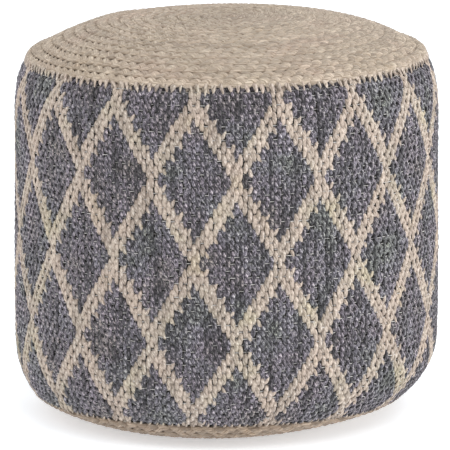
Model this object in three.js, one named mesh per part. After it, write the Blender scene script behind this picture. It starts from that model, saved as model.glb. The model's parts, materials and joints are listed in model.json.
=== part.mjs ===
// Jute pouf: a stuffed drum with a woven side between two coiled, braided discs.
// Millimetres, +Z up. The origin is on the floor, in the middle of the drum.
// Angles run from the front (-Y) towards the right (+X).
import * as THREE from 'three';

// Drum
const WAIST_RADIUS = 228;
const WAIST_LOW = 90; // below this the side draws in towards the base
const WAIST_HIGH = 308; // above this it draws in towards the top
const SHOULDER_POWER = 3.6; // how late the side turns in above the waist
const FOOT_POWER = 2.5; // and below it
const SEAM_GAP = 0.3; // between pieces that are sewn to each other

// Top disc: a flat braid wound in a spiral, domed by the stuffing
const BRAID_PITCH = 12.5; // width of one row of braid
const BRAID_THICKNESS = 8;
const ROW_GROOVE = 2.2; // depth of the groove between two rows
const TOP_TURNS = 17; // full rows around the start of the coil
const COIL_START = 0.5; // radius of the first turn, in rows
const SEAM_ROWS = 18; // the seam is sewn level, this many rows from the crown
const CROWN_HEIGHT = 429;
const CROWN_DROP = 51.5; // fall of the dome's curve at the waist radius
const CROWN_POWER = 4;
const TOP_SEAM_RADIUS = 215;
const TOP_SEAM_HEIGHT = 387;
const RIM_WIDTH = 12.5; // the last row turns down over the rim
const TOP_SLOPE = 0.01; // the top sits a little higher on the right

// Base disc: the same braid, drawn up all round by the seam
const BASE_SEAM_RADIUS = 201;
const BASE_SEAM_LOW = 22; // height of the seam at the two sides
const BASE_SEAM_RISE = 5.5; // it is this much higher at the front and back
const CONTACT_RADIUS = 130; // of the patch that stands on the floor
const CONTACT_LEAN = 14; // the patch reaches this much further on the left, less on the right
const EDGE_POWER = 1.1; // from there the edge rises almost straight at the two sides
const ROUND_POWER = 3; // at the front and back it is rounder, and upright at the seam
const ROUND_SHARE = 0.6; // share of that rounding at the front and back
const EDGE_ROWS = 6; // rows of braid between the patch and the seam
const BASE_SHIFT = -14; // the base is drawn to the left, seen from the front

// Slow waves of the stuffing in the side. The one without lobes goes evenly all
// the way round: it fills the side low down and draws it in higher up.
const WAVES = [
  { lobes: 0, size: 1.1, phase: 3.37, twist: -0.015 },
  { lobes: 4, size: 0.6, phase: 0.8, twist: 0.004 },
  { lobes: 6, size: 0.4, phase: 2.1, twist: -0.006 },
];

// Resolution
const SEGMENTS = 60;
const LINES_PER_ROW = 3;
const CURVE_STEPS = 200;
const TOP_BED_RINGS = 7;
const SHOULDER_RINGS = 6;
const WAIST_RINGS = 4;
const FOOT_RINGS = 6;
const BASE_BED_RINGS = 6;

const angleOf = (segment) => Math.PI - (segment / SEGMENTS) * 2 * Math.PI;
const lerp = THREE.MathUtils.lerp;

// Moves a point of the ideal drum to where the stuffed one really has it.
function settle(radius, height, angle) {
  const rise = Math.max(0, (height - WAIST_HIGH) / (TOP_SEAM_HEIGHT - WAIST_HIGH));
  const slope = TOP_SLOPE * Math.min(1, rise) ** 2;
  const foot = Math.max(0, 1 - height / WAIST_LOW);
  const middle = Math.sin((Math.PI * height) / CROWN_HEIGHT);
  let wave = 0;
  for (const { lobes, size, phase, twist } of WAVES) {
    wave += size * middle * Math.sin(lobes * angle + phase + twist * height);
  }
  const reach = radius + wave * Math.min(1, radius / WAIST_RADIUS);
  const x = reach * Math.sin(angle) + BASE_SHIFT * foot ** 2;
  const y = -reach * Math.cos(angle);
  return new THREE.Vector3(x, y, height + slope * x);
}

// Upper half of the outline, from the crown over the rim to the waist.
function upperOutline() {
  const points = [];
  const domeHeight = (r) => CROWN_HEIGHT - CROWN_DROP * (r / WAIST_RADIUS) ** CROWN_POWER;
  const rimInside = TOP_SEAM_RADIUS - RIM_WIDTH;
  const rimRise = domeHeight(rimInside) - TOP_SEAM_HEIGHT;
  for (let i = 0; i < CURVE_STEPS; i++) {
    const r = (rimInside * i) / CURVE_STEPS;
    points.push(new THREE.Vector2(r, domeHeight(r)));
  }
  for (let i = 0; i < CURVE_STEPS; i++) {
    const turn = (Math.PI / 2) * (1 - i / CURVE_STEPS);
    const r = rimInside + RIM_WIDTH * Math.cos(turn);
    points.push(new THREE.Vector2(r, TOP_SEAM_HEIGHT + rimRise * Math.sin(turn)));
  }
  for (let i = 0; i <= CURVE_STEPS; i++) {
    const up = 1 - i / CURVE_STEPS;
    const r = WAIST_RADIUS - (WAIST_RADIUS - TOP_SEAM_RADIUS) * up ** SHOULDER_POWER;
    points.push(new THREE.Vector2(r, lerp(WAIST_HIGH, TOP_SEAM_HEIGHT, up)));
  }
  return measured(points);
}

// The base's outline at one angle, from its middle out to the seam.
function baseOutline(angle) {
  const depth = Math.cos(angle) ** 2;
  const contact = CONTACT_RADIUS - CONTACT_LEAN * Math.sin(angle);
  const seamHeight = baseSeamHeight(angle);
  const points = [new THREE.Vector2(0, 0)];
  for (let i = 0; i <= CURVE_STEPS; i++) {
    const out = i / CURVE_STEPS;
    const round = 1 - (1 - out ** ROUND_POWER) ** (1 / ROUND_POWER);
    const height = seamHeight * lerp(out ** EDGE_POWER, round, ROUND_SHARE * depth);
    points.push(new THREE.Vector2(lerp(contact, BASE_SEAM_RADIUS, out), height));
  }
  return { ...measured(points), contact };
}

function baseSeamHeight(angle) {
  return BASE_SEAM_LOW + BASE_SEAM_RISE * Math.cos(angle) ** 2;
}

// Adds the running length to a list of points.
function measured(points) {
  const lengths = [0];
  for (let i = 1; i < points.length; i++) {
    lengths.push(lengths[i - 1] + points[i].distanceTo(points[i - 1]));
  }
  return { points, lengths, total: lengths[lengths.length - 1] };
}

// The point at a distance along an outline, sunk to a depth and moved on by a
// small step. Inward is 1 where the inside lies to the left of the outline.
function pointAlong({ points, lengths }, distance, depth, inward, step) {
  let i = 1;
  while (i < points.length - 1 && lengths[i] < distance) i++;
  const part = (distance - lengths[i - 1]) / (lengths[i] - lengths[i - 1]);
  const point = points[i - 1].clone().lerp(points[i], part);
  const along = points[i].clone().sub(points[i - 1]).normalize();
  point.x += along.x * step - inward * along.y * depth;
  point.y += along.y * step + inward * along.x * depth;
  return point;
}

const UPPER = upperOutline();
const onTop = (distance, depth, step = 0) => pointAlong(UPPER, distance, depth, -1, step);

// How far from the crown a line of the coil lies. Each row has a few lines, and
// the spiral moves out by one row in each turn. The last row narrows on its way
// round, so that it fills what is left up to the seam.
function coilDistance(segment, line) {
  const turns = COIL_START + segment / SEGMENTS;
  const lastRow = (TOP_TURNS - 1) * LINES_PER_ROW;
  const width = SEAM_ROWS - turns - (TOP_TURNS - 1);
  const narrowed = Math.max(0, line - lastRow) * width;
  return BRAID_PITCH * (turns + (Math.min(line, lastRow) + narrowed) / LINES_PER_ROW);
}

const TOP_SEAM_DISTANCE = BRAID_PITCH * SEAM_ROWS;

// A closed skin of rings, from a first to a last single point.
function ringSkin(first, rings, last) {
  const vertices = [first, ...rings.flat(), last];
  const end = vertices.length - 1;
  const faces = [];
  const at = (ring, segment) => 1 + ring * SEGMENTS + (segment % SEGMENTS);
  for (let i = 0; i < SEGMENTS; i++) {
    faces.push([0, at(0, i + 1), at(0, i)]);
    for (let k = 0; k < rings.length - 1; k++) {
      faces.push(...quad(vertices, at(k, i), at(k, i + 1), at(k + 1, i + 1), at(k + 1, i)));
    }
    faces.push([end, at(rings.length - 1, i), at(rings.length - 1, i + 1)]);
  }
  return { vertices, faces };
}

// Two triangles for four points in turn, split along the shorter diagonal.
function quad(points, a, b, c, d) {
  const across = points[a].distanceTo(points[c]);
  if (across < points[b].distanceTo(points[d])) return [[a, b, c], [a, c, d]];
  return [[b, c, d], [b, d, a]];
}

// One ring of points, from a function that gives the outline's point.
function ring(outlinePoint) {
  const points = [];
  for (let i = 0; i < SEGMENTS; i++) {
    const { x: radius, y: height } = outlinePoint(i);
    points.push(settle(radius, height, angleOf(i)));
  }
  return points;
}

const rings = (count, make) => Array.from({ length: count }, (_, k) => ring((i) => make(i, k)));

// Rings under the top disc, spread from the crown out to the seam, where
// they stop short of it or go just past it.
function topBed(depth, past) {
  return rings(TOP_BED_RINGS, (i, k) => {
    const step = k === TOP_BED_RINGS - 1 ? past : 0;
    return onTop((TOP_SEAM_DISTANCE * (k + 1)) / TOP_BED_RINGS, depth, step);
  });
}

// Rings inside the base disc, spread from its middle out to the seam.
function baseBed(depth, past) {
  return rings(BASE_BED_RINGS, (i, k) => {
    const outline = baseOutline(angleOf(i));
    const step = k === BASE_BED_RINGS - 1 ? past : 0;
    const distance = lerp(outline.contact, outline.total, k / (BASE_BED_RINGS - 1));
    return pointAlong(outline, distance, depth, 1, step);
  });
}

// The stuffed drum with its woven side. It is let in under both discs.
function wovenSide() {
  const bed = BRAID_THICKNESS + SEAM_GAP;
  const past = SEAM_GAP / 2;
  const shoulder = rings(SHOULDER_RINGS, (i, k) =>
    onTop(lerp(TOP_SEAM_DISTANCE + past, UPPER.total, k / (SHOULDER_RINGS - 1)), 0));
  const waist = rings(WAIST_RINGS, (i, k) =>
    new THREE.Vector2(WAIST_RADIUS, lerp(WAIST_HIGH, WAIST_LOW, (k + 1) / (WAIST_RINGS + 1))));
  const foot = rings(FOOT_RINGS, (i, k) => footPoint(angleOf(i), k / (FOOT_RINGS - 1)));
  const side = [...shoulder, ...waist, ...foot];
  const top = settle(0, CROWN_HEIGHT - bed, 0);
  const bottom = settle(0, bed, 0);
  return ringSkin(top, [...topBed(bed, past), ...side, ...baseBed(bed, past).reverse()], bottom);
}

// A point of the side as it draws in, from the waist down to the base seam.
function footPoint(angle, down) {
  const radius = WAIST_RADIUS - (WAIST_RADIUS - BASE_SEAM_RADIUS) * down ** FOOT_POWER;
  const seam = baseSeamHeight(angle) + SEAM_GAP / 2;
  return new THREE.Vector2(radius, lerp(WAIST_LOW, seam, down));
}

// The coiled top. Its outer face is one strip that winds out from the middle.
function braidedTop() {
  const lines = TOP_TURNS * LINES_PER_ROW;
  const vertices = [settle(0, CROWN_HEIGHT, 0)];
  for (let i = 0; i < SEGMENTS; i++) {
    for (let j = 0; j <= lines; j++) {
      const groove = j % LINES_PER_ROW === 0 ? ROW_GROOVE : 0;
      const { x: radius, y: height } = onTop(coilDistance(i, j) - SEAM_GAP / 2, groove);
      vertices.push(settle(radius, height, angleOf(i)));
    }
  }
  // Past the last segment each line goes on as the line one row further out.
  const at = (i, j) => {
    if (i < SEGMENTS) return 1 + i * (lines + 1) + j;
    return 1 + Math.min(j + LINES_PER_ROW, lines);
  };
  const faces = [];
  for (let i = 0; i < SEGMENTS; i++) {
    for (let j = 0; j < lines; j++) {
      faces.push(...quad(vertices, at(i, j), at(i + 1, j), at(i + 1, j + 1), at(i, j + 1)));
    }
    if (i < SEGMENTS - 1) faces.push([0, at(i + 1, 0), at(i, 0)]);
  }
  const lastStart = at(SEGMENTS - 1, 0);
  for (let j = LINES_PER_ROW; j > 0; j--) faces.push([lastStart, at(0, j - 1), at(0, j)]);
  faces.push([lastStart, 0, at(0, 0)]);

  // Plain underside, bedded on the stuffing
  const under = vertices.length;
  vertices.push(...topBed(BRAID_THICKNESS, -SEAM_GAP / 2).flat());
  vertices.push(settle(0, CROWN_HEIGHT - BRAID_THICKNESS, 0));
  const outer = TOP_BED_RINGS - 1;
  const below = (k, i) => under + k * SEGMENTS + (i % SEGMENTS);
  for (let i = 0; i < SEGMENTS; i++) {
    const next = i + 1;
    faces.push([vertices.length - 1, below(0, i), below(0, next)]);
    for (let k = 0; k < outer; k++) {
      faces.push(...quad(vertices, below(k, i), below(k + 1, i), below(k + 1, next), below(k, next)));
    }
    faces.push(...quad(vertices, at(i, lines), at(next, lines), below(outer, next), below(outer, i)));
  }
  return { vertices, faces };
}

// The base disc: flat where it stands, with its rows showing around the edge.
function braidedBase() {
  const lines = EDGE_ROWS * LINES_PER_ROW;
  const edge = rings(lines + 1, (i, k) => {
    const outline = baseOutline(angleOf(i));
    const from = outline.total - SEAM_GAP / 2;
    const groove = k % LINES_PER_ROW === 0 && k > 0 && k < lines ? ROW_GROOVE : 0;
    return pointAlong(outline, lerp(from, outline.contact, k / lines), groove, 1, 0);
  });
  const middleTop = settle(0, BRAID_THICKNESS, 0);
  const middle = settle(0, 0, 0);
  return ringSkin(middleTop, [...baseBed(BRAID_THICKNESS, -SEAM_GAP / 2), ...edge], middle);
}

// Turns points and faces into a mesh, leaving out faces that have closed up.
function namedMesh(name, { vertices, faces }, material) {
  const open = faces.filter(([a, b, c]) => a !== b && b !== c && c !== a);
  const geometry = new THREE.BufferGeometry();
  geometry.setFromPoints(vertices);
  geometry.setIndex(open.flat());
  geometry.computeVertexNormals();
  const mesh = new THREE.Mesh(geometry, material);
  mesh.name = name;
  return mesh;
}

const wovenMaterial = new THREE.MeshStandardMaterial({
  color: 0x75737a,
  roughness: 0.95,
  metalness: 0,
});
const juteMaterial = new THREE.MeshStandardMaterial({
  color: 0xb5a389,
  roughness: 0.85,
  metalness: 0,
});

const pouf = new THREE.Group();
pouf.add(namedMesh('woven_side', wovenSide(), wovenMaterial));
pouf.add(namedMesh('braided_top', braidedTop(), juteMaterial));
pouf.add(namedMesh('braided_base', braidedBase(), juteMaterial));

export default pouf;
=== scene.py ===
"""Jute pouf: a stuffed drum whose woven side is sewn between two coiled, braided discs.

The side is a flat weave of thick yarn. Each place where the yarn comes to the front is a piece of
geometry of its own, called a float here, and the trellis is made by the floats' two colours. The
discs are coils of a real three-strand plait, and whip stitches hold them to the side.

Lengths are in metres. Angles run from the front (-Y) towards the right (+X).
"""

import json
import math

import bpy
import numpy as np
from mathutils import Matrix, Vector

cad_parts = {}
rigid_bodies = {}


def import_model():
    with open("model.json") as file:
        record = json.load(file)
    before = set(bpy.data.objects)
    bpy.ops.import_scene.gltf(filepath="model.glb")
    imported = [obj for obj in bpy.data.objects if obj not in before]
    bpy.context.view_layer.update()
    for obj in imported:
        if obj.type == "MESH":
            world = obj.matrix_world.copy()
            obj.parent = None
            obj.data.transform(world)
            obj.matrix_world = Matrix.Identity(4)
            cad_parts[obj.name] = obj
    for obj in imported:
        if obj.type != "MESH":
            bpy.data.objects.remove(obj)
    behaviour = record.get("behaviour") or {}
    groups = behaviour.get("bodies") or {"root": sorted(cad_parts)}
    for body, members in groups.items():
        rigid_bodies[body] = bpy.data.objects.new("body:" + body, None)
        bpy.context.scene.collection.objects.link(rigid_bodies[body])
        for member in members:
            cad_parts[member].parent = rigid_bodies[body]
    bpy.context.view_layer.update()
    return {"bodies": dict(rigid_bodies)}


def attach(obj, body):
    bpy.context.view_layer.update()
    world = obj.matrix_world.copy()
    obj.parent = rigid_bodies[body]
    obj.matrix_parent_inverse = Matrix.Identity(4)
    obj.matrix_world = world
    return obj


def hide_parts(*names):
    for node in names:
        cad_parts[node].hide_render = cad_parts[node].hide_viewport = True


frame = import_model()
BODY = next(iter(frame["bodies"]))

# Drum, as in the CAD
WAIST_RADIUS = 0.228
WAIST_LOW = 0.090  # below this the side draws in towards the base
WAIST_HIGH = 0.308  # above this it draws in towards the top
SHOULDER_POWER = 3.6  # how late the side turns in above the waist
FOOT_POWER = 2.5  # and below it
CROWN_HEIGHT = 0.429
CROWN_DROP = 0.0515  # fall of the dome's curve at the waist radius
CROWN_POWER = 4
TOP_SEAM_RADIUS = 0.215
TOP_SEAM_HEIGHT = 0.387
RIM_WIDTH = 0.0125  # the last row turns down over the rim
TOP_SLOPE = 0.01  # the top sits a little higher on the right
BASE_SEAM_RADIUS = 0.201
BASE_SEAM_LOW = 0.022  # height of the seam at the two sides
BASE_SEAM_RISE = 0.0055  # it is this much higher at the front and back
CONTACT_RADIUS = 0.130  # of the patch that stands on the floor
CONTACT_LEAN = 0.014  # the patch reaches this much further on the left, less on the right
EDGE_POWER = 1.1  # from there the edge rises almost straight at the two sides
ROUND_POWER = 3  # at the front and back it is rounder
ROUND_SHARE = 0.6  # share of that rounding at the front and back
BASE_SHIFT = -0.014  # the base is drawn to the left

# Slow waves of the stuffing in the side, as in the CAD: lobes, size, phase and twist
WAVES = (
    (0, 0.0011, 3.37, -15.0),
    (4, 0.0006, 0.8, 4.0),
    (6, 0.0004, 2.1, -6.0),
)

# The stuffing lifts the crown a little more left of the middle, which the CAD leaves out
CROWN_SWELL = 0.0022
CROWN_SWELL_X = -0.124
CROWN_SWELL_REACH = 0.026

# Coils of braid
BRAID_PITCH = 0.0125  # width of one row
TOP_TURNS = 17  # full rows around the start of the coil
COIL_START = 0.5  # radius of the first turn, in rows
SEAM_ROWS = 18  # the top seam is this many rows from the crown
TOP_SEAM = BRAID_PITCH * SEAM_ROWS

# Woven side
COLUMNS = 320
COLUMN_ANGLE = 2 * math.pi / COLUMNS
ROW_PITCH = 0.00717
NODE_ANGLE = math.radians(2.66)  # place of one crossing of the trellis
NODE_HEIGHT = 0.2919
REPEAT_COLUMNS = 20
REPEAT_ROWS = 24

# How finely the outlines are worked out, and the steps over which their slopes are taken
DOME_STEPS = 400
RIM_STEPS = 200
SHOULDER_STEPS = 400
FOOT_STEPS = 300
EDGE_STEPS = 60
TOP_STEP = 0.0004
SIDE_STEP = 0.0005
BASE_STEP = 0.004  # as a share of the way from the middle to the seam

# How far the foot's curve runs on past the seam, in heights of the foot
FOOT_RUN_ON = 1.15  # for a seam of middle height
FOOT_LIMIT = 1.2  # for a higher seam


# Shape of the drum


def settle(radius, height, angle):
    """Moves points of the ideal drum to where the stuffed one really has them."""
    rise = np.maximum(0, (height - WAIST_HIGH) / (TOP_SEAM_HEIGHT - WAIST_HIGH))
    slope = TOP_SLOPE * np.minimum(1, rise) ** 2
    foot = np.maximum(0, 1 - height / WAIST_LOW)
    middle = np.sin(np.pi * height / CROWN_HEIGHT)
    wave = 0
    for lobes, size, phase, twist in WAVES:
        wave = wave + size * middle * np.sin(lobes * angle + phase + twist * height)
    reach = radius + wave * np.minimum(1, radius / WAIST_RADIUS)
    x = reach * np.sin(angle) + BASE_SHIFT * foot**2
    y = -reach * np.cos(angle)
    crown = np.clip((height - TOP_SEAM_HEIGHT) / (CROWN_HEIGHT - TOP_SEAM_HEIGHT), 0, 1)
    swell = CROWN_SWELL * np.sqrt(crown) * np.exp(-((x - CROWN_SWELL_X) / CROWN_SWELL_REACH) ** 2)
    return np.stack([x, y, height + slope * x + swell], axis=-1)


def raised(r, h, dr, dh, out, angle):
    """Points of an outline, raised off it by out. The outside is on the right of its way, (dr, dh)."""
    size = np.hypot(dr, dh)
    return settle(r + dh / size * out, h - dr / size * out, angle)


def measured(radius, height):
    """A profile as a table: the running length, the radius and the height of each of its points."""
    steps = np.hypot(np.diff(radius), np.diff(height))
    return np.concatenate([[0], np.cumsum(steps)]), radius, height


def upper_outline():
    """From the crown over the rim and the shoulder down to the waist."""
    rim_inside = TOP_SEAM_RADIUS - RIM_WIDTH
    rim_rise = CROWN_HEIGHT - CROWN_DROP * (rim_inside / WAIST_RADIUS) ** CROWN_POWER - TOP_SEAM_HEIGHT
    dome = np.linspace(0, rim_inside, DOME_STEPS, endpoint=False)
    turn = np.linspace(math.pi / 2, 0, RIM_STEPS, endpoint=False)
    up = np.linspace(1, 0, SHOULDER_STEPS)
    radius = np.concatenate([
        dome,
        rim_inside + RIM_WIDTH * np.cos(turn),
        WAIST_RADIUS - (WAIST_RADIUS - TOP_SEAM_RADIUS) * up**SHOULDER_POWER,
    ])
    height = np.concatenate([
        CROWN_HEIGHT - CROWN_DROP * (dome / WAIST_RADIUS) ** CROWN_POWER,
        TOP_SEAM_HEIGHT + rim_rise * np.sin(turn),
        WAIST_HIGH + (TOP_SEAM_HEIGHT - WAIST_HIGH) * up,
    ])
    return measured(radius, height)


UPPER = upper_outline()
UPPER_LENGTH = UPPER[0][-1]
SEAM_RISE = WAIST_HIGH + UPPER_LENGTH - TOP_SEAM  # the side's running height at the top seam


def upper_place(distance):
    """Radius and height at a distance from the crown along the upper outline."""
    lengths, radius, height = UPPER
    return np.interp(distance, lengths, radius), np.interp(distance, lengths, height)


def top_point(distance, out, angle):
    """A point at a distance from the crown along the upper outline, raised off it by out."""
    r, h = upper_place(distance)
    r_on, h_on = upper_place(distance + TOP_STEP)
    r_back, h_back = upper_place(distance - TOP_STEP)
    return raised(r, h, r_back - r_on, h_back - h_on, out, angle)


def base_seam_height(angle):
    """The base seam is lowest at the two sides."""
    return BASE_SEAM_LOW + BASE_SEAM_RISE * np.cos(angle) ** 2


def foot_outline():
    """The side below the waist, at the seam's middle height, and running on a little past it."""
    seam = BASE_SEAM_LOW + BASE_SEAM_RISE / 2
    down = np.linspace(0, FOOT_RUN_ON, FOOT_STEPS)
    radius = WAIST_RADIUS - (WAIST_RADIUS - BASE_SEAM_RADIUS) * down**FOOT_POWER
    return measured(radius, WAIST_LOW + (seam - WAIST_LOW) * down)


FOOT = foot_outline()
LOWEST_RISE = WAIST_LOW - FOOT[0][-1]  # the side's running height where the foot's curve ends


def base_rise(angle):
    """The side's running height at the base seam."""
    lengths, _, height = FOOT
    return WAIST_LOW - np.interp(-base_seam_height(angle), -height, lengths)


def side_place(rise, angle):
    """Radius and height of the side at a running height, which is measured along the cloth."""
    r_up, h_up = upper_place(UPPER_LENGTH - np.maximum(0, rise - WAIST_HIGH))
    lengths, _, height = FOOT
    h_low = np.interp(np.maximum(0, WAIST_LOW - rise), lengths, height)
    down = (WAIST_LOW - h_low) / (WAIST_LOW - base_seam_height(angle))
    r_low = WAIST_RADIUS - (WAIST_RADIUS - BASE_SEAM_RADIUS) * np.minimum(down, FOOT_LIMIT) ** FOOT_POWER
    upper = rise > WAIST_HIGH
    lower = rise < WAIST_LOW
    r = np.where(upper, r_up, np.where(lower, r_low, WAIST_RADIUS))
    h = np.where(upper, h_up, np.where(lower, h_low, rise))
    return r, h


def side_point(rise, out, angle):
    """A point of the side at a running height, raised off it by out.

    A float's tip may reach past the end of the foot's curve. There the curve keeps its last slope."""
    r, h = side_place(rise, angle)
    within = np.maximum(rise, LOWEST_RISE)
    r_above, h_above = side_place(within + SIDE_STEP, angle)
    r_below, h_below = side_place(within - SIDE_STEP, angle)
    return raised(r, h, r_above - r_below, h_above - h_below, out, angle)


def base_place(share, angle):
    """Radius and height of the base at a share of the way from its middle to the seam."""
    contact = CONTACT_RADIUS - CONTACT_LEAN * np.sin(angle)
    seam = base_seam_height(angle)
    out = np.sin(np.linspace(0, math.pi / 2, EDGE_STEPS))
    rounding = 1 - (1 - out**ROUND_POWER) ** (1 / ROUND_POWER)
    share_round = ROUND_SHARE * np.cos(angle)[:, None] ** 2
    radius = contact[:, None] + (BASE_SEAM_RADIUS - contact)[:, None] * out
    height = seam[:, None] * (out**EDGE_POWER * (1 - share_round) + rounding * share_round)
    steps = np.hypot(np.diff(radius, axis=1), np.diff(height, axis=1))
    start = np.zeros((len(angle), 1))
    lengths = contact[:, None] + np.concatenate([start, np.cumsum(steps, axis=1)], axis=1)
    distance = share * lengths[:, -1]
    place = np.clip((lengths < distance[:, None]).sum(axis=1), 1, EDGE_STEPS - 1)
    each = np.arange(len(angle))
    before = lengths[each, place - 1]
    part = (distance - before) / (lengths[each, place] - before)
    r = radius[each, place - 1] + part * (radius[each, place] - radius[each, place - 1])
    h = height[each, place - 1] + part * (height[each, place] - height[each, place - 1])
    inner = distance <= contact
    return np.where(inner, distance, r), np.where(inner, 0, h)


def base_point(share, out, angle):
    """A point of the base, raised off it by out, which is downwards in the middle."""
    shape = np.broadcast(share, out, angle).shape
    share, out, angle = (np.broadcast_to(values, shape).ravel() for values in (share, out, angle))
    r, h = base_place(share, angle)
    r_on, h_on = base_place(share + BASE_STEP, angle)
    r_back, h_back = base_place(share - BASE_STEP, angle)
    return raised(r, h, r_on - r_back, h_on - h_back, out, angle).reshape(*shape, 3)


# Meshes


def new_mesh(name, points, faces, material, yarn=None):
    """A smooth-shaded mesh that rides on the pouf's one body. yarn holds its yarn_marks."""
    mesh = bpy.data.meshes.new(name)
    mesh.from_pydata(points.reshape(-1, 3).tolist(), [], faces)
    if yarn is not None:
        marks = mesh.attributes.new("yarn", "FLOAT_VECTOR", "POINT")
        marks.data.foreach_set("vector", yarn.astype(np.float32).ravel())
    mesh.materials.append(material)
    mesh.shade_smooth()
    piece = bpy.data.objects.new(name, mesh)
    bpy.context.collection.objects.link(piece)
    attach(piece, BODY)
    return piece


def yarn_marks(across, length, chance):
    """What a yarn's material reads at each point: its place across and along the yarn, and its tone."""
    return np.stack(np.broadcast_arrays(across, length, chance), axis=-1)


def section_angles(sides):
    """The angles of the points of a round section."""
    return np.arange(sides) * 2 * math.pi / sides


def tube_faces(rings, sides):
    """Faces of one closed tube whose points are its rings in turn, then its two tips."""
    faces = []
    for k in range(rings - 1):
        for j in range(sides):
            following = (j + 1) % sides
            a = k * sides
            faces.append((a + j, a + following, a + sides + following, a + sides + j))
    first = rings * sides
    last = first + 1
    for j in range(sides):
        following = (j + 1) % sides
        faces.append((first, following, j))
        faces.append((last, (rings - 1) * sides + j, (rings - 1) * sides + following))
    return faces


def loop_faces(rings, sides):
    """Faces of one tube that comes back to its start."""
    faces = []
    for k in range(rings):
        for j in range(sides):
            following = (j + 1) % sides
            a = k * sides
            b = (k + 1) % rings * sides
            faces.append((a + j, a + following, b + following, b + j))
    return faces


def strand_faces(rings, sides):
    """Faces of one long strand with a flat face at each end."""
    faces = []
    for k in range(rings - 1):
        for j in range(sides):
            following = (j + 1) % sides
            a = k * sides
            faces.append((a + following, a + j, a + sides + j, a + sides + following))
    faces.append(tuple(range(sides)))
    faces.append(tuple((rings - 1) * sides + j for j in reversed(range(sides))))
    return faces


def repeated(faces, count, size):
    """The same faces for each of many copies, whose points follow each other."""
    return [tuple(index + copy * size for index in face) for copy in range(count) for face in faces]


# Materials


class Shader:
    """A small help for writing node materials: each call adds a node and returns its output."""

    # Places of the colour sockets on the mix node
    MIX_FIRST = 6
    MIX_SECOND = 7
    MIX_RESULT = 2

    def __init__(self, name):
        self.material = bpy.data.materials.new(name)
        self.material.use_nodes = True
        self.nodes = self.material.node_tree.nodes
        self.links = self.material.node_tree.links
        self.surface = self.nodes["Principled BSDF"]

    def add(self, kind, values=None, **settings):
        """A new node, with values for its inputs. A value may be another node's output."""
        node = self.nodes.new(kind)
        for key, value in settings.items():
            setattr(node, key, value)
        for key, value in (values or {}).items():
            self.join(value, node.inputs[key])
        return node

    def join(self, value, socket):
        """Links an output to a socket, or sets the socket's own value."""
        if isinstance(value, bpy.types.NodeSocket):
            self.links.new(value, socket)
        else:
            socket.default_value = value

    def finish_surface(self, values):
        """Sets several of the surface's own inputs."""
        for key, value in values.items():
            self.join(value, self.surface.inputs[key])

    def place(self):
        """Place on the object, in metres."""
        return self.add("ShaderNodeTexCoord").outputs["Object"]

    def attribute(self, name):
        """A node that reads one of the mesh's own attributes."""
        return self.add("ShaderNodeAttribute", attribute_name=name)

    def scaled(self, vector, scale, shift=(0, 0, 0)):
        """The vector scaled, then shifted."""
        values = {"Vector": vector, "Scale": scale, "Location": shift}
        return self.add("ShaderNodeMapping", values).outputs[0]

    def noise(self, vector, scale=1.0, detail=2.0, roughness=0.5):
        """Smooth noise, the same wherever the vector is the same."""
        values = {"Vector": vector, "Scale": scale, "Detail": detail, "Roughness": roughness}
        return self.add("ShaderNodeTexNoise", values).outputs["Fac"]

    def ramp(self, factor, stops):
        """A colour ramp over stops, each a place and a colour. A new ramp has two stops already."""
        node = self.add("ShaderNodeValToRGB", {"Fac": factor})
        points = node.color_ramp.elements
        while len(points) < len(stops):
            points.new(0.5)
        for point, (position, colour) in zip(points, stops):
            point.position = position
            point.color = (*colour, 1)
        return node.outputs["Color"]

    def mix(self, factor, first, second, blend="MIX"):
        """Mixes two colours, each an output or a tuple of three numbers."""
        node = self.add("ShaderNodeMix", data_type="RGBA", blend_type=blend)
        self.join(factor, node.inputs["Factor"])
        for value, index in ((first, self.MIX_FIRST), (second, self.MIX_SECOND)):
            self.join((*value, 1) if isinstance(value, tuple) else value, node.inputs[index])
        return node.outputs[self.MIX_RESULT]

    def math(self, operation, first, second=0.0):
        """One operation on two numbers, each an output or a constant."""
        node = self.add("ShaderNodeMath", operation=operation)
        self.join(first, node.inputs[0])
        self.join(second, node.inputs[1])
        return node.outputs[0]

    def span(self, value, low, high, to_low, to_high):
        """Maps a range of a value to another range."""
        values = {"Value": value, "From Min": low, "From Max": high, "To Min": to_low, "To Max": to_high}
        return self.add("ShaderNodeMapRange", values).outputs[0]

    def bump(self, height, distance, strength=1.0):
        """Fine relief for the surface's Normal."""
        values = {"Height": height, "Distance": distance, "Strength": strength}
        return self.add("ShaderNodeBump", values).outputs["Normal"]


# Yarn, as all yarn materials have it. Scales are in cycles a metre, across and along the yarn
YARN_TWIST = 0.45  # how far the fibres run across the yarn, for their length
YARN_APART = 3.0  # how far apart the noise is read for two yarns whose tones differ by one
FIBRE_SCALE = (3200, 420, 1)
FIBRE_NOISE = (0.3, 0.7)  # range of the noise that is used
FIBRE_TONE = (0.72, 1.22)
FIBRE_RELIEF = 0.0006
FLECK_SHIFT = (3, 7, 5)  # keeps the flecks from following the fibres
PATCH_SCALE = 18
PATCH_SHARE = 0.8


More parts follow.
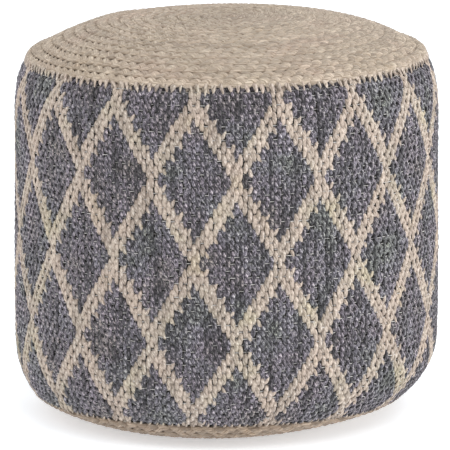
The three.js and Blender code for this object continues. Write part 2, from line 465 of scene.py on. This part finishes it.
def yarn_material(name, flecks, fleck_scale, tints, tones, roughness, sheen):
    """Soft spun yarn: fine fibres along it, flecks of other colours, and a tone for each float.

    flecks are the yarn's colours and tints the faint colours of large patches, both as ramp stops.
    tones are the darkest and lightest tone. The attribute yarn is what yarn_marks makes."""
    shader = Shader(name)
    yarn = shader.attribute("yarn")
    apart = shader.add("ShaderNodeSeparateXYZ", {"Vector": yarn.outputs["Vector"]})
    across, length, chance = apart.outputs[0], apart.outputs[1], apart.outputs[2]
    twisted = shader.math("ADD", across, shader.math("MULTIPLY", length, YARN_TWIST))
    own = shader.math("MULTIPLY", chance, YARN_APART)
    lie = shader.add("ShaderNodeCombineXYZ", {"X": twisted, "Y": length, "Z": own}).outputs[0]
    fibres = shader.noise(shader.scaled(lie, FIBRE_SCALE), detail=3, roughness=0.65)
    speckle = shader.noise(shader.scaled(lie, (*fleck_scale, 1), FLECK_SHIFT), detail=2, roughness=0.7)
    patches = shader.noise(shader.place(), scale=PATCH_SCALE, detail=3, roughness=0.6)
    colour = shader.mix(PATCH_SHARE, shader.ramp(speckle, flecks), shader.ramp(patches, tints), "MULTIPLY")
    tone = shader.span(chance, 0, 1, *tones)
    streak = shader.span(fibres, *FIBRE_NOISE, *FIBRE_TONE)
    brightness = shader.math("MULTIPLY", tone, streak)
    shades = {"Red": brightness, "Green": brightness, "Blue": brightness}
    shade = shader.add("ShaderNodeCombineColor", shades).outputs[0]
    shader.finish_surface({
        "Base Color": shader.mix(1.0, colour, shade, "MULTIPLY"),
        "Roughness": roughness,
        "Sheen Weight": sheen,
        "Sheen Roughness": 0.6,
        "Specular IOR Level": 0.2,
        "Normal": shader.bump(fibres, FIBRE_RELIEF, strength=0.8),
    })
    return shader.material


def grey_yarn():
    """Heather grey: dark yarn with pale flecks and faint green, blue and violet patches."""
    flecks = [
        (0.37, (0.012, 0.010, 0.012)),
        (0.455, (0.052, 0.046, 0.052)),
        (0.53, (0.134, 0.123, 0.140)),
        (0.60, (0.315, 0.292, 0.304)),
        (0.68, (0.680, 0.630, 0.590)),
    ]
    tints = [
        (0.32, (0.82, 0.94, 0.78)),
        (0.43, (0.90, 0.92, 0.98)),
        (0.56, (1.0, 0.92, 1.0)),
        (0.70, (1.0, 0.93, 0.84)),
    ]
    return yarn_material("grey_heather_yarn", flecks, fleck_scale=(600, 230), tints=tints,
                         tones=(0.37, 1.55), roughness=0.92, sheen=0.26)


def natural_yarn():
    """Natural jute for the trellis and the stitches."""
    flecks = [
        (0.28, (0.170, 0.132, 0.104)),
        (0.42, (0.362, 0.300, 0.244)),
        (0.55, (0.505, 0.424, 0.355)),
        (0.68, (0.760, 0.685, 0.595)),
    ]
    tints = [
        (0.30, (0.96, 1.0, 0.86)),
        (0.45, (1.0, 1.0, 1.0)),
        (0.60, (1.0, 0.96, 0.97)),
        (0.75, (1.0, 0.97, 0.86)),
    ]
    return yarn_material("natural_jute_yarn", flecks, fleck_scale=(620, 200), tints=tints,
                         tones=(0.80, 1.20), roughness=0.88, sheen=0.08)


def warp_cotton():
    """Thin pale cord."""
    flecks = [
        (0.25, (0.46, 0.44, 0.43)),
        (0.50, (0.66, 0.64, 0.62)),
        (0.75, (0.82, 0.80, 0.77)),
    ]
    tints = [
        (0.3, (1.0, 1.0, 1.0)),
        (0.7, (0.97, 0.96, 0.94)),
    ]
    return yarn_material("pale_warp_cord", flecks, fleck_scale=(600, 200), tints=tints,
                         tones=(0.85, 1.1), roughness=0.9, sheen=0.1)


def braid_jute(name, tones, cast):
    """Jute for a braid. Its colours, dark to light, are shifted a little by the cast."""
    colours = [
        (0.30, (0.240, 0.180, 0.135)),
        (0.44, (0.375, 0.300, 0.240)),
        (0.55, (0.470, 0.388, 0.318)),
        (0.70, (0.700, 0.605, 0.510)),
    ]
    flecks = [(place, tuple(np.multiply(colour, cast))) for place, colour in colours]
    tints = [
        (0.25, (1.0, 0.92, 0.88)),
        (0.45, (1.0, 0.99, 0.94)),
        (0.60, (0.97, 0.97, 0.91)),
        (0.78, (1.0, 0.94, 0.80)),
    ]
    return yarn_material(name, flecks, fleck_scale=(900, 60), tints=tints,
                         tones=tones, roughness=0.82, sheen=0.15)


def top_jute():
    """Jute of the top braid."""
    return braid_jute("top_jute", tones=(0.79, 1.16), cast=(1, 1, 1))


def base_jute_painted_shade():
    """Jute of the base braid: darker than the top's as painted shade for the base near the floor, and a
    little redder to offset the floor's bluish glow.
    """
    # Painted shade: the lower tones darken this copy of the top's jute, for the shade near the floor.
    return braid_jute("base_jute_painted_shade", tones=(0.55, 0.95), cast=(1.03, 0.965, 0.93))


# Heights over which the ground turns from its painted shade to jute brown
UNDER_TOP = (TOP_SEAM_HEIGHT + 0.003, TOP_SEAM_HEIGHT + 0.006)
UNDER_BASE = (BASE_SEAM_LOW - 0.002, BASE_SEAM_LOW - 0.005)
GROUND_BROWN = (0.22, 0.17, 0.13)
GROUND_RELIEF = 0.0005


def ground_with_painted_shade():
    """The ground seen only in gaps: dark between the floats as painted shade of the deep gaps, jute brown
    under the braids.
    """
    shader = Shader("weave_ground_painted_shade")
    grain = shader.noise(shader.place(), scale=900, detail=2)
    # Painted shade: this dark colour stands for the shade deep in the gaps between the floats, and under
    # the top seam where the cloth tucks in.
    dark = shader.ramp(grain, [(0.3, (0.025, 0.022, 0.022)), (0.7, (0.075, 0.068, 0.062))])
    height = shader.add("ShaderNodeSeparateXYZ", {"Vector": shader.place()}).outputs[2]
    under_top = shader.span(height, *UNDER_TOP, 0, 1)
    under_base = shader.span(height, *UNDER_BASE, 0, 1)
    under_braid = shader.math("MAXIMUM", under_top, under_base)
    shader.finish_surface({
        "Base Color": shader.mix(under_braid, dark, GROUND_BROWN),
        "Roughness": 1.0,
        "Specular IOR Level": 0.1,
        "Normal": shader.bump(grain, GROUND_RELIEF),
    })
    return shader.material


# Stuffed drum

GROUND_SEGMENTS = 120
GROUND_TOP_SHARES = np.linspace(0.04, 1, 14)  # rings, as shares of the way from the crown to the seam
GROUND_SIDE_SHARES = np.linspace(0.015, 1, 44)  # from the top seam to the base seam
GROUND_BASE_SHARES = np.linspace(0.985, 0.05, 12)  # from the middle to the seam, taken inwards
GROUND_UNDER_TOP = 0.0042  # how far the ground lies under each surface
GROUND_UNDER_SIDE = 0.0032
GROUND_UNDER_BASE = 0.0045


def stuffed_drum():
    """The filled drum under the weave and the coils, a closed form."""
    angle = np.linspace(0, 2 * math.pi, GROUND_SEGMENTS, endpoint=False)
    rings = []
    for share in GROUND_TOP_SHARES:
        rings.append(top_point(TOP_SEAM * share, -GROUND_UNDER_TOP, angle))
    for share in GROUND_SIDE_SHARES:
        rise = SEAM_RISE * (1 - share) + base_rise(angle) * share
        rings.append(side_point(rise, -GROUND_UNDER_SIDE, angle))
    for share in GROUND_BASE_SHARES:
        rings.append(base_point(share, -GROUND_UNDER_BASE, angle))
    crown = [0, 0, CROWN_HEIGHT - GROUND_UNDER_BASE]
    base = [BASE_SHIFT, 0, GROUND_UNDER_BASE]
    points = np.concatenate([np.array(rings).reshape(-1, 3), [crown], [base]])
    faces = [tuple(reversed(face)) for face in tube_faces(len(rings), GROUND_SEGMENTS)]
    drum = new_mesh("stuffed_drum", points, faces, ground_with_painted_shade())
    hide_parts("woven_side")


# Weave

WEAVE_ROWS = range(-16, 42)  # rows down from the crossing, a few more than the side has
WEAVE_RUN_ON = 0.004  # how far floats are laid past the seams
WEAVE_QUARTERS = 4  # the weave is joined in this many pieces of each colour
WEAVE_SEED = 7

# Columns from a crossing at which an arm has a tooth
TOOTH_STEPS = (3, 5, 7, 9)
TOOTH_LENGTH = 0.64
TOOTH_WIDTH = 0.80
TOOTH_LEAN = 0.26
TOOTH_SHIFT = 0.0020
TOOTH_BED = 0.0007  # how far the grey yarn sinks where a tooth lies on it


def trellis(column, row):
    """The trellis: two arms run to the right from each node, one up and one down.

    Each arm is two floats wide, with a tooth on every other float along its right-hand edge. The
    second result is 1 for a tooth that points up, -1 for one that points down, and 0 elsewhere."""
    natural = np.zeros(column.shape, bool)
    tooth = np.zeros(column.shape, int)
    for node_column, node_row in ((0, 0), (REPEAT_COLUMNS // 2, REPEAT_ROWS // 2)):
        step = np.mod(column - node_column, REPEAT_COLUMNS)
        for down in (1, -1):
            fall = np.mod(down * (row - node_row) - step, REPEAT_ROWS)
            on_arm = step <= REPEAT_COLUMNS // 2
            natural |= on_arm & ((fall == 0) | (fall == 2))
            tooth[np.isin(step, TOOTH_STEPS) & (fall == REPEAT_ROWS - 2)] = down
    tooth[natural] = 0
    return natural | (tooth != 0), tooth


# Rings of a float: place along it, how far it has sunk, and its width there
FLOAT_RINGS = (
    (-0.0056, 0.0013, 0.82),
    (-0.0031, 0.0003, 0.96),
    (0.0, 0.0, 1.0),
    (0.0031, 0.0003, 0.96),
    (0.0056, 0.0013, 0.82),
)
FLOAT_TIP = (0.0079, 0.0024)  # place along it, and how far it has sunk
FLOAT_SECTION = ((1.0, -0.1), (0.72, 0.72), (0.0, 1.0), (-0.72, 0.72), (-1.0, -0.1), (0.0, -0.9))
FLOAT_WIDTH = 0.00262  # half of it
FLOAT_DEPTH = 0.0014
FLOAT_CREST = 0.0005
NATURAL_PLUMP = 1.03  # the natural yarn is a little thicker than the grey

# Unevenness of the floats, from end to end of its range
TONE_RANGE = 0.28
WIDTH_RANGE = 0.16
DEPTH_RANGE = 0.4
SLIDE_RANGE = 0.0007  # to the side
LEAN_RANGE = 0.20
SHOVE_RANGE = 0.0018  # how unevenly they were beaten down

# Unevenness that changes slowly down each column, to either side
TONE_DRIFT = 0.40
SLIDE_DRIFT = 0.0005
TONE_SEED = 3
SLIDE_SEED = 5
DRIFT_TURN = 0.22  # how fast it changes, in radians a row

# Length of the floats against their template, and unevenness as a standard deviation
FLOAT_STRETCH = 1.05
STRETCH_SPREAD = 0.09
ROUGHNESS_SPREAD = 0.00016  # by which each point is off

# How the cloth sinks under a coil: where it starts before the seam, how steeply, and up to where
TUCK_UNDER_TOP = (0.007, 0.42, 0.013)
TUCK_UNDER_BASE = (0.002, 0.30, 0.010)


def float_template():
    """Place along in metres, across and out as shares of the yarn, and sunk in metres."""
    points = []
    for place, sunk, size in FLOAT_RINGS:
        for v, w in FLOAT_SECTION:
            points.append((place, v * size, w * size, sunk))
    points.append((-FLOAT_TIP[0], 0.0, 0.0, FLOAT_TIP[1]))
    points.append((FLOAT_TIP[0], 0.0, 0.0, FLOAT_TIP[1]))
    return np.array(points)


def tucked(rise, angle):
    """How far the cloth sinks where it goes in under the top and base coils."""
    def sunk(past_seam, tuck):
        before, slope, reach = tuck
        return slope * np.clip(past_seam + before, 0, reach)

    return sunk(rise - SEAM_RISE, TUCK_UNDER_TOP) + sunk(base_rise(angle) - rise, TUCK_UNDER_BASE)


def column_drift(columns, rows, seed):
    """A number from -1 to 1 that changes slowly down each column, and from column to column at random."""
    phase = 2 * math.pi * np.random.default_rng(seed).random(COLUMNS)
    return np.sin(phase[columns] + DRIFT_TURN * rows)


def floats(name, columns, rows, tooth, bed, plump, material, random):
    """All floats of one colour, over part of the drum. tooth marks short ones, bed how far each sinks."""
    count = len(columns)

    def even(size_range):
        """A number for each float, anywhere in a range about zero."""
        return size_range * (random.random(count) - 0.5)

    shape = float_template()
    angle = NODE_ANGLE + columns * COLUMN_ANGLE
    rise = NODE_HEIGHT - rows * ROW_PITCH - TOOTH_SHIFT * tooth
    chance = 0.5 + even(TONE_RANGE) + TONE_DRIFT * column_drift(columns, rows, TONE_SEED)
    wide = plump * FLOAT_WIDTH * (1 + even(WIDTH_RANGE)) * np.where(tooth, TOOTH_WIDTH, 1)
    high = FLOAT_DEPTH * (1 + even(DEPTH_RANGE))
    slide = even(SLIDE_RANGE) + SLIDE_DRIFT * column_drift(columns, rows, SLIDE_SEED)
    lean = even(LEAN_RANGE) + TOOTH_LEAN * tooth
    stretch = plump * (FLOAT_STRETCH + STRETCH_SPREAD * random.normal(size=count))
    stretch = stretch * np.where(tooth, TOOTH_LENGTH, 1)
    rough = ROUGHNESS_SPREAD * random.normal(size=(3, count, len(shape)))
    shove = even(SHOVE_RANGE)
    place, v, w, sunk = (shape[:, k] for k in range(4))
    along_float = place[None, :] * stretch[:, None] + rough[0]
    across = v[None, :] * wide[:, None] + slide[:, None] + lean[:, None] * along_float + rough[1]
    height = (rise + shove)[:, None] + along_float
    out = FLOAT_CREST - FLOAT_DEPTH - sunk[None, :] / plump**3 + w[None, :] * high[:, None] + rough[2]
    out = out - bed[:, None] - tucked(height, angle[:, None])
    points = side_point(height, out, angle[:, None] + across / WAIST_RADIUS)
    faces = repeated(tube_faces(len(FLOAT_RINGS), len(FLOAT_SECTION)), count, len(shape))
    new_mesh(name, points, faces, material, yarn_marks(across, along_float, chance[:, None]))


def woven_side():
    """The floats of a plain weave: at each row, every other column's yarn is in front."""
    random = np.random.default_rng(WEAVE_SEED)
    column, row = np.meshgrid(np.arange(COLUMNS), np.array(WEAVE_ROWS))
    column, row = column.ravel(), row.ravel()
    angle = NODE_ANGLE + column * COLUMN_ANGLE
    rise = NODE_HEIGHT - row * ROW_PITCH
    keep = (column + row) % 2 == 0
    keep &= rise < SEAM_RISE + WEAVE_RUN_ON
    keep &= rise > base_rise(angle) - WEAVE_RUN_ON
    column, row = column[keep], row[keep]
    natural, tooth = trellis(column, row)
    grey = grey_yarn()
    beige = natural_yarn()
    for quarter in range(WEAVE_QUARTERS):
        here = column * WEAVE_QUARTERS // COLUMNS == quarter
        pick = here & (~natural | (tooth != 0))
        floats(f"grey_floats_{quarter + 1}", column[pick], row[pick], np.zeros(pick.sum()),
               TOOTH_BED * (tooth[pick] != 0), 1, grey, random)
        pick = here & natural
        floats(f"natural_floats_{quarter + 1}", column[pick], row[pick], tooth[pick],
               np.zeros(pick.sum()), NATURAL_PLUMP, beige, random)


WARP_ROWS = range(-13, 39)  # rows down from the crossing, a few more than the side has
WARP_SEGMENTS = 320
WARP_SIDES = 3
WARP_RADIUS = 0.00045
WARP_DEPTH = -0.0032
WARP_PEEK = 0.0034  # how far the cord comes up where it shows most
WARP_RARITY = 3  # the higher, the fewer the places where it comes up
WARP_HIDDEN = 0.004  # how much deeper it lies past the base seam
WARP_SEED = 11


def warp_cords():
    """The pale cords that run around the drum, one in each row, seen between the floats' ends."""
    random = np.random.default_rng(WARP_SEED)
    angle = np.linspace(0, 2 * math.pi, WARP_SEGMENTS, endpoint=False)
    turn = section_angles(WARP_SIDES)[None, :]
    points = []
    yarn = []
    for row in WARP_ROWS:
        rise = NODE_HEIGHT - row * ROW_PITCH
        if rise > SEAM_RISE or rise < base_rise(angle).min():
            continue
        depth = WARP_DEPTH + WARP_PEEK * random.random(WARP_SEGMENTS) ** WARP_RARITY
        depth -= WARP_HIDDEN * (rise < base_rise(angle))
        points.append(side_point(rise + WARP_RADIUS * np.cos(turn),
                                 depth[:, None] + WARP_RADIUS * np.sin(turn), angle[:, None]))
        yarn.append(yarn_marks(turn * WARP_RADIUS, angle[:, None] * WAIST_RADIUS, random.random()))
    faces = repeated(loop_faces(WARP_SEGMENTS, WARP_SIDES), len(points), WARP_SEGMENTS * WARP_SIDES)
    new_mesh("warp_cords", np.array(points), faces, warp_cotton(), np.array(yarn))


# Plait

STRANDS = 3
PLAIT_PERIOD = 0.036
PLAIT_DEPTH = 0.0025
STRAND_SWING = 0.0032
STRAND_HEAVE = 0.0011
STRAND_WIDTH = 0.0043  # half of it
STRAND_DEPTH = 0.0020
STRAND_PRESSED = 0.3  # how much narrower a strand gets where the plait stands out more
PLAIT_UNEVEN = 0.10
STRAND_UNEVEN = 0.07
UNEVEN_LENGTH = 0.05  # length of plait over which its unevenness changes
TONE_LENGTH = 0.4  # and over which a strand's tone does
COIL_SAMPLES = 40000
TIGHTEST_RADIUS = 0.008  # keeps the plait from bending more sharply at a coil's middle


def coil_length(turns, radius, distance):
    """The running length of a coil at each of its stops."""
    return np.cumsum(np.hypot(2 * math.pi * radius * np.gradient(turns), np.gradient(distance)))


def coil_stops(first, last, step, distance_at):
    """Turns of the coil at which the plait's rings lie, an even step of its length apart."""
    fine = np.linspace(first, last, COIL_SAMPLES)
    distance = distance_at(fine)
    length = coil_length(fine, distance, distance)
    return np.interp(np.arange(0, length[-1], step), length, fine)


def plait(name, turns, length, width, relief, sides, surface, material, seed):
    """A flat three-strand plait along a coil. surface turns (turns, sideways, along, out) into points."""
    random = np.random.default_rng(seed)
    ring = section_angles(sides)[None, :]
    knots = np.arange(0, length[-1] + UNEVEN_LENGTH, UNEVEN_LENGTH)
    tone_knots = np.arange(0, length[-1] + TONE_LENGTH, TONE_LENGTH)
    uneven = PLAIT_UNEVEN * np.interp(length, knots, random.normal(size=len(knots)))
    points = []
    yarn = []
    for strand in range(STRANDS):
        phase = 2 * math.pi * (length / PLAIT_PERIOD + strand / STRANDS) + uneven
        swell = 1 + STRAND_UNEVEN * np.interp(length, knots, random.normal(size=len(knots)))
        swing = STRAND_SWING * width * np.sin(phase)
        heave = STRAND_HEAVE * relief * np.sin(2 * phase)
        slant = np.arctan(STRAND_SWING * width * np.cos(phase) * 2 * math.pi / PLAIT_PERIOD)
        half_width = STRAND_WIDTH * width * swell / relief**STRAND_PRESSED
        half_depth = STRAND_DEPTH * (0.5 + 0.5 * width * swell)
        side = half_width[:, None] * np.cos(ring)
        sideways = swing[:, None] + side * np.cos(slant)[:, None]
        forward = -side * np.sin(slant)[:, None]
        out = heave[:, None] + half_depth[:, None] * np.sin(ring) - PLAIT_DEPTH
        points.append(surface(turns[:, None], sideways, forward, out))
        chance = np.interp(length, tone_knots, random.random(len(tone_knots)))
        yarn.append(yarn_marks(side, length[:, None], chance[:, None]))
    faces = repeated(strand_faces(len(turns), sides), STRANDS, len(turns) * sides)
    return new_mesh(name, np.array(points), faces, material, np.array(yarn))


# Top coil

COIL_FIRST = -1.22  # the coil's start, in turns, curled up across the crown
COIL_LAP = 0.08  # how far its end goes on under the row outside it, in turns
LAP_DEPTH = 0.003
FULL_WIDTH_TURN = -0.5  # the thin start has grown to a full row here
START_GROWTH = 0.5  # rows that it widens in a turn
FILLING_TURNS = 0.16  # turns in which the last row would widen by one row
COIL_WIDTHS = (0.3, 1.5)  # least and most, in rows
RIM_RELIEF = 0.40  # the plait stands out more where it bends over the rim
RIM_TURNS = 4  # this begins so many turns before the end
RIM_GROWTH = 3  # and takes so many to be full
TOP_STOP_STEP = 0.0032
TOP_STRAND_SIDES = 8
TOP_SEED = 21


def coil_width(turns):
    """The top coil's width in rows. The last turn narrows, so that it fills what is left to the seam."""
    start = 1 + START_GROWTH * (turns - FULL_WIDTH_TURN)
    last = SEAM_ROWS - COIL_START - turns
    widening = 1 + np.maximum(0, turns - (TOP_TURNS - 1)) / FILLING_TURNS
    return np.clip(np.minimum(np.minimum(start, last), widening), *COIL_WIDTHS)


def coiled_top(material):
    """The top disc: one plait wound from the crown out over the rim."""
    def distance_at(turns):
        return BRAID_PITCH * (COIL_START + turns + coil_width(turns) / 2)

    def surface(turns, sideways, forward, out):
        distance = distance_at(turns)
        radius = np.maximum(upper_place(distance)[0], TIGHTEST_RADIUS)
        angle = math.pi - 2 * math.pi * turns - forward / radius
        end = np.clip((turns - TOP_TURNS) / COIL_LAP, 0, 1)
        reach = distance + sideways
        across_crown = math.pi * (reach < 0)
        return top_point(np.abs(reach), out - LAP_DEPTH * end, angle + across_crown)

    turns = coil_stops(COIL_FIRST, TOP_TURNS + COIL_LAP, TOP_STOP_STEP, distance_at)
    distance = distance_at(turns)
    length = coil_length(turns, upper_place(distance)[0], distance)
    relief = 1 + RIM_RELIEF * np.clip((turns - TOP_TURNS + RIM_TURNS) / RIM_GROWTH, 0, 1)
    piece = plait("top_braid", turns, length, coil_width(turns), relief, TOP_STRAND_SIDES, surface,
                  material, TOP_SEED)
    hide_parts("braided_top")


# Base coil

BASE_REACH = 0.207  # from the middle of the base to its seam, along it
BASE_ROWS = BASE_REACH / BRAID_PITCH
STEP_SHARE = 0.25  # share of a turn in which the coil steps in by a row
BASE_FIRST = -0.2  # the coil's start, in turns before the first full one
BASE_LEFT = 0.6  # rows that it leaves at the middle
BASE_TAPER = 0.25  # turns in which its start grows to full width
THINNEST = 0.2
NEAREST_SHARE = 0.001  # keeps its points off the very middle
BASE_RELIEF = 1.3
BASE_STOP_STEP = 0.0045
BASE_STRAND_SIDES = 7
BASE_SEED = 23


def base_offset(turns):
    """Rows between the seam and the middle of the base's coil, which steps in at the back."""
    whole = np.floor(turns)
    part = np.clip((turns - whole - (1 - STEP_SHARE)) / STEP_SHARE, 0, 1)
    return 0.5 + whole + part * part * (3 - 2 * part)


def coiled_base(material):
    """The base disc: one plait wound in from the seam to the middle, pressed flat on the floor."""
    def share_at(turns):
        return 1 - base_offset(turns) / BASE_ROWS

    def distance_at(turns):
        return BASE_REACH * share_at(turns)

    def surface(turns, sideways, forward, out):
        share = share_at(turns)
        radius = np.maximum(share * BASE_REACH, TIGHTEST_RADIUS)
        angle = math.pi - 2 * math.pi * turns - forward / radius
        points = base_point(np.clip(share + sideways / BASE_REACH, NEAREST_SHARE, 1), out, angle)
        points[..., 2] = np.maximum(points[..., 2], 0)
        return points

    turns = coil_stops(BASE_FIRST, BASE_ROWS - BASE_LEFT, BASE_STOP_STEP, distance_at)
    distance = distance_at(turns)
    length = coil_length(turns, distance, distance)
    width = np.clip((turns + BASE_TAPER) / BASE_TAPER, THINNEST, 1)
    relief = np.full(len(turns), BASE_RELIEF)
    piece = plait("base_braid", turns, length, width, relief, BASE_STRAND_SIDES, surface,
                  material, BASE_SEED)
    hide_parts("braided_base")


# Whip stitches

STITCHES = COLUMNS // 2
STITCH_SIDES = 7
STITCH_FLATNESS = 0.5
STITCH_FINENESS = 0.7  # a shorter stitch is thinner too, but by less

# Rings of a stitch: how far down it is, how far out, and half its width
STITCH_RINGS = (
    (-0.0046, -0.0020, 0.0018),
    (-0.0024, -0.0004, 0.0024),
    (0.0002, 0.0003, 0.0024),
    (0.0024, 0.0001, 0.0020),
    (0.0044, -0.0006, 0.0013),
    (0.0064, -0.0018, 0.0005),
)

# Lean of the stitches, and their unevenness as a standard deviation
STITCH_LEAN = 0.14
STITCH_LEAN_SPREAD = 0.20
STITCH_SWAY = 0.24  # in columns
STITCH_LENGTH_SPREAD = 0.20
STITCH_SIZE_SPREAD = 0.18

TOP_STITCH_REACH = 1.0
BASE_STITCH_REACH = 0.6
TOP_STITCH_SEED = 31
BASE_STITCH_SEED = 32


def stitches(name, reach, point_at, material, seed):
    """Whip stitches over a seam. Each is a soft tapered loop; point_at is (down, out, angle)."""
    random = np.random.default_rng(seed)
    angle = NODE_ANGLE + (2 * np.arange(STITCHES) + 0.5) * COLUMN_ANGLE
    angle = angle + STITCH_SWAY * COLUMN_ANGLE * random.normal(size=STITCHES)
    length = reach * (1 + STITCH_LENGTH_SPREAD * random.normal(size=STITCHES))
    size = 1 + STITCH_SIZE_SPREAD * random.normal(size=STITCHES)
    lean = STITCH_LEAN + STITCH_LEAN_SPREAD * random.normal(size=STITCHES)
    chance = random.random(STITCHES)
    turn = section_angles(STITCH_SIDES)
    points = []
    yarn = []
    for down, out, half in STITCH_RINGS:
        slim = half * reach**STITCH_FINENESS
        across = slim * size[:, None] * np.cos(turn)[None, :]
        up = out * reach + slim * STITCH_FLATNESS * np.sin(turn)[None, :]
        sideways = across + lean[:, None] * down
        points.append(point_at((down * length)[:, None], up, angle[:, None] + sideways / WAIST_RADIUS))
        yarn.append(yarn_marks(across, down, chance[:, None]))
    rings = len(STITCH_RINGS)
    body = np.stack(points, axis=1).reshape(STITCHES, rings * STITCH_SIDES, 3)
    tips = np.stack([points[0].mean(axis=1), points[-1].mean(axis=1)], axis=1)
    marks = np.stack(yarn, axis=1).reshape(STITCHES, rings * STITCH_SIDES, 3)
    marks = np.concatenate([marks, marks[:, :1], marks[:, -1:]], axis=1)
    faces = repeated(tube_faces(rings, STITCH_SIDES), STITCHES, rings * STITCH_SIDES + 2)
    new_mesh(name, np.concatenate([body, tips], axis=1), faces, material, marks)


def seam_stitches(material):
    """The stitches over the two seams, smaller over the base seam."""
    def over_top(down, out, angle):
        return top_point(TOP_SEAM + down, out, angle)

    def over_base(down, out, angle):
        return side_point(base_rise(angle) + down, out, angle)

    stitches("top_stitches", TOP_STITCH_REACH, over_top, material, TOP_STITCH_SEED)
    stitches("base_stitches", BASE_STITCH_REACH, over_base, material, BASE_STITCH_SEED)


# Studio

SURROUND_STRENGTH = 0.85
FLOOR_REACH = 14
FLOOR_HEIGHT = -0.0004
FLOOR_GLOW = 0.44
LIGHT_AIM = Vector((0, 0, 0.2))

# Soft lights: place, size and power
LIGHTS = {
    "top_light": ((1.0, -1.6, 3.4), 3.0, 44),
    "left_light": ((-3.2, -0.4, 1.3), 2.0, 15),
    "right_light": ((3.2, -0.8, 0.7), 2.0, 46),
}


def studio():
    """A pale floor, an even white surround and three large soft lights."""
    scene = bpy.context.scene
    scene.view_settings.view_transform = "Standard"
    world = bpy.data.worlds.new("studio")
    world.use_nodes = True
    background = world.node_tree.nodes["Background"]
    background.inputs["Color"].default_value = (1, 1, 1, 1)
    background.inputs["Strength"].default_value = SURROUND_STRENGTH
    scene.world = world
    floor()
    for name, (place, size, energy) in LIGHTS.items():
        softbox(name, place, size, energy)


def floor_paper():
    """Plain pale paper with an even glow."""
    shader = Shader("floor_paper")
    grain = shader.noise(shader.place(), scale=60, detail=2)
    shader.finish_surface({
        "Base Color": shader.ramp(grain, [(0.3, (0.92, 0.95, 0.98)), (0.7, (0.94, 0.97, 1.0))]),
        "Roughness": 1.0,
        "Emission Color": (0.95, 0.97, 1, 1),
        "Emission Strength": FLOOR_GLOW,
        "Specular IOR Level": 0.0,
    })
    return shader.material


def floor():
    """A large flat sheet, just under the pouf."""
    mesh = bpy.data.meshes.new("floor")
    ways = ((-1, -1), (1, -1), (1, 1), (-1, 1))
    corners = [(x * FLOOR_REACH, y * FLOOR_REACH, FLOOR_HEIGHT) for x, y in ways]
    mesh.from_pydata(corners, [], [(0, 1, 2, 3)])
    mesh.materials.append(floor_paper())
    sheet = bpy.data.objects.new("floor", mesh)
    bpy.context.collection.objects.link(sheet)


def softbox(name, place, size, energy):
    """A large round soft light that faces the pouf."""
    lamp = bpy.data.lights.new(name, "AREA")
    lamp.shape = "DISK"
    lamp.size = size
    lamp.energy = energy
    light = bpy.data.objects.new(name, lamp)
    light.location = place
    light.rotation_euler = (LIGHT_AIM - light.location).to_track_quat("-Z", "Y").to_euler()
    bpy.context.collection.objects.link(light)


CAMERA_DISTANCE = 4.56
CAMERA_RISE = math.radians(11.47)
CAMERA_AIM = Vector((-0.0015, 0, 0.201))
CAMERA_SENSOR = 36  # millimetres, as the lens
CAMERA_LENS = 337.2
CAMERA_FARTHEST = 100


def camera():
    """A long lens, a little above the pouf, as in the photograph."""
    data = bpy.data.cameras.new("camera")
    data.sensor_width = CAMERA_SENSOR
    data.lens = CAMERA_LENS
    data.clip_end = CAMERA_FARTHEST
    viewer = bpy.data.objects.new("camera", data)
    back = Vector((0, -math.cos(CAMERA_RISE), math.sin(CAMERA_RISE)))
    viewer.location = CAMERA_AIM + back * CAMERA_DISTANCE
    viewer.rotation_euler = (-back).to_track_quat("-Z", "Y").to_euler()
    bpy.context.collection.objects.link(viewer)
    bpy.context.scene.camera = viewer


camera()
studio()
stuffed_drum()
woven_side()
warp_cords()
coiled_top(top_jute())
coiled_base(base_jute_painted_shade())
seam_stitches(natural_yarn())
